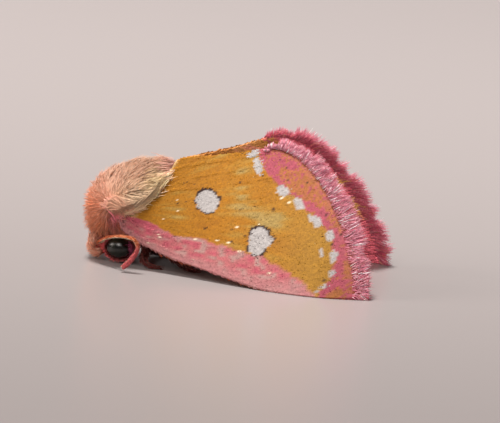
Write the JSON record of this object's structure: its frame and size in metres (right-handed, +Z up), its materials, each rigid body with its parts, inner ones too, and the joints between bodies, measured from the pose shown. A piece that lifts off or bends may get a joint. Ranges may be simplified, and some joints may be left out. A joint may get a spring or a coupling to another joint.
{
  "type": "pink star moth",
  "caption": "Still, life-size small moth at rest, wings held like a roof over the body: ochre forewings with pink edges and white spots, furry salmon thorax.",
  "frame": {"origin": "on the floor, under the middle of the moth's box", "axes": "+X from head to wing tips, +Y to the moth's right, +Z up"},
  "size_m": [0.0143, 0.0106, 0.0068],
  "materials": {
    "fur": "soft, thick scale fur",
    "wing": "matt, powdery wing scales with a faint sheen",
    "hindwing": "matt, fine wing scales",
    "abdomen": "short soft scales",
    "leg": "short scales over horn-like shell",
    "feeler": "fine scales over horn-like shell",
    "eye": "faceted, glossy and dark"
  },
  "bodies": {
    "root": {"head": "fur", "thorax": "fur", "abdomen": "abdomen", "eye_left": "eye", "eye_right": "eye", "antenna_left": "feeler", "antenna_right": "feeler", "palp_left": "fur", "palp_right": "fur", "forewing_left": "wing", "forewing_right": "wing", "hindwing_left": "hindwing", "hindwing_right": "hindwing", "foreleg_left": "leg", "foreleg_right": "leg", "midleg_left": "leg", "midleg_right": "leg", "hindleg_left": "leg", "hindleg_right": "leg"}
  },
  "joints": []
}
